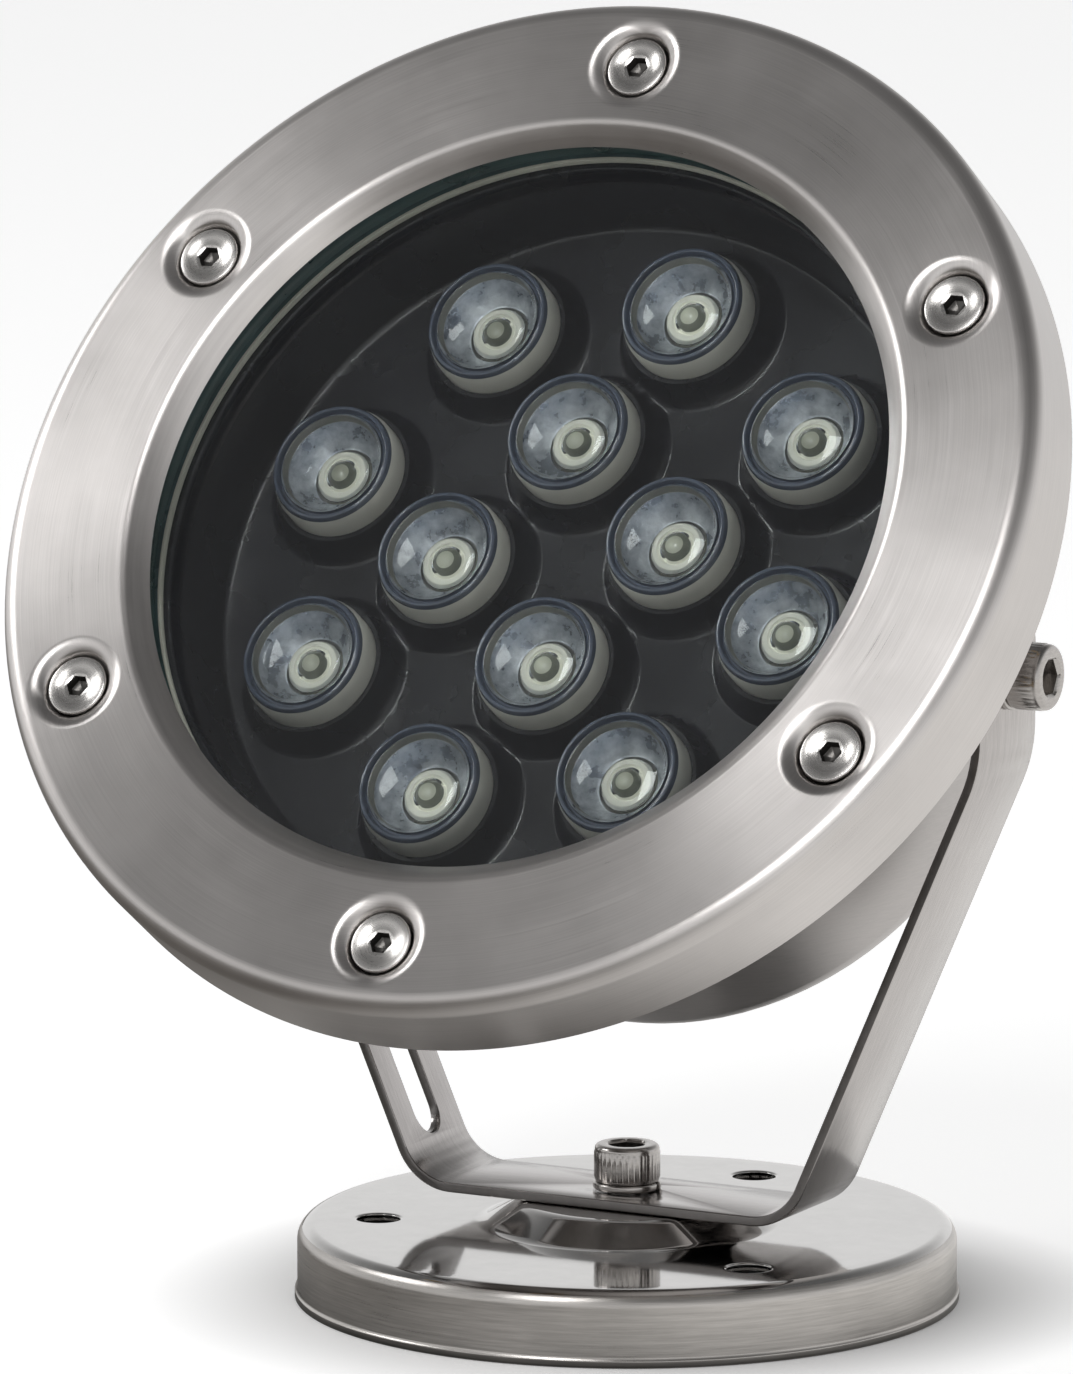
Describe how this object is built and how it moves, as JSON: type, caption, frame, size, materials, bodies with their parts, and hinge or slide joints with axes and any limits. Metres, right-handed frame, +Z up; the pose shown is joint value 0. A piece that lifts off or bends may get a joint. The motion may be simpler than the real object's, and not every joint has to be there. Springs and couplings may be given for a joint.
{
  "type": "underwater pond light",
  "caption": "Round stainless underwater spotlight: lensed LEDs behind glass under a wide screwed ring, tilting in a U strap that swivels on a round base.",
  "frame": {"origin": "centre of the base's underside, on the surface that the light stands on", "axes": "+Z up along the swivel axis, +X along the tilt axis, the beam points to -Y and upwards"},
  "size_m": [0.164, 0.1396, 0.1934],
  "materials": {
    "brushed_stainless": "satin brushed",
    "can_stainless": "satin",
    "polished_stainless": "semi-polished, worn at the side",
    "strap_stainless": "streaky polish",
    "fastener_stainless": "bright turned",
    "tempered_glass": "clear with a greenish edge",
    "silicone": "cream translucent",
    "black_plastic": "satin black",
    "lens_acrylic": "clear moulded acrylic",
    "led_emitter": "cream package with a grey-olive dome",
    "board_aluminium": "white solder mask on aluminium",
    "brass": "nickel-free brass",
    "circuit_board": "green solder mask",
    "capacitor_can": "sleeved can",
    "ferrite": "dark ferrite",
    "gland_metal": "nickel plated",
    "black_rubber": "matt"
  },
  "bodies": {
    "base": {"base_plate": "polished_stainless", "base_bolt": "fastener_stainless", "base_spring_washer": "fastener_stainless", "base_flat_washer": "fastener_stainless", "base_nut": "fastener_stainless"},
    "bracket": {"u_bracket": "strap_stainless"},
    "head": {"bezel_ring": "brushed_stainless", "bezel_screws": "fastener_stainless", "insert_nuts": "fastener_stainless", "front_gasket": "silicone", "glass": "tempered_glass", "rear_gasket": "silicone", "housing_can": "can_stainless", "left_pivot_boss": "fastener_stainless", "right_pivot_boss": "fastener_stainless", "left_pivot_bolt": "fastener_stainless", "right_pivot_bolt": "fastener_stainless", "left_spring_washer": "fastener_stainless", "right_spring_washer": "fastener_stainless", "lens_plate": "black_plastic", "lens_01": "lens_acrylic", "lens_02": "lens_acrylic", "lens_03": "lens_acrylic", "lens_04": "lens_acrylic", "lens_05": "lens_acrylic", "lens_06": "lens_acrylic", "lens_07": "lens_acrylic", "lens_08": "lens_acrylic", "lens_09": "lens_acrylic", "lens_10": "lens_acrylic", "lens_11": "lens_acrylic", "lens_12": "lens_acrylic", "led_01": "led_emitter", "led_02": "led_emitter", "led_03": "led_emitter", "led_04": "led_emitter", "led_05": "led_emitter", "led_06": "led_emitter", "led_07": "led_emitter", "led_08": "led_emitter", "led_09": "led_emitter", "led_10": "led_emitter", "led_11": "led_emitter", "led_12": "led_emitter", "led_board": "board_aluminium", "board_standoffs": "brass", "board_screws": "fastener_stainless", "driver_board": "circuit_board", "driver_capacitor": "capacitor_can", "driver_inductor": "ferrite", "driver_spacers": "brass", "driver_screws": "fastener_stainless", "gland_body": "gland_metal", "gland_washer": "black_rubber", "gland_locknut": "gland_metal", "gland_seal": "black_rubber", "gland_nut": "gland_metal"}
  },
  "joints": [
    {"name": "swivel", "type": "hinge", "parent": "base", "child": "bracket", "pos_m": [0, 0, 0], "axis": [0, 0, 1], "continuous": true},
    {"name": "tilt", "type": "hinge", "parent": "bracket", "child": "head", "pos_m": [0, 0, 0.0992], "axis": [-1, 0, 0], "range_deg": [-38, 146]}
  ]
}
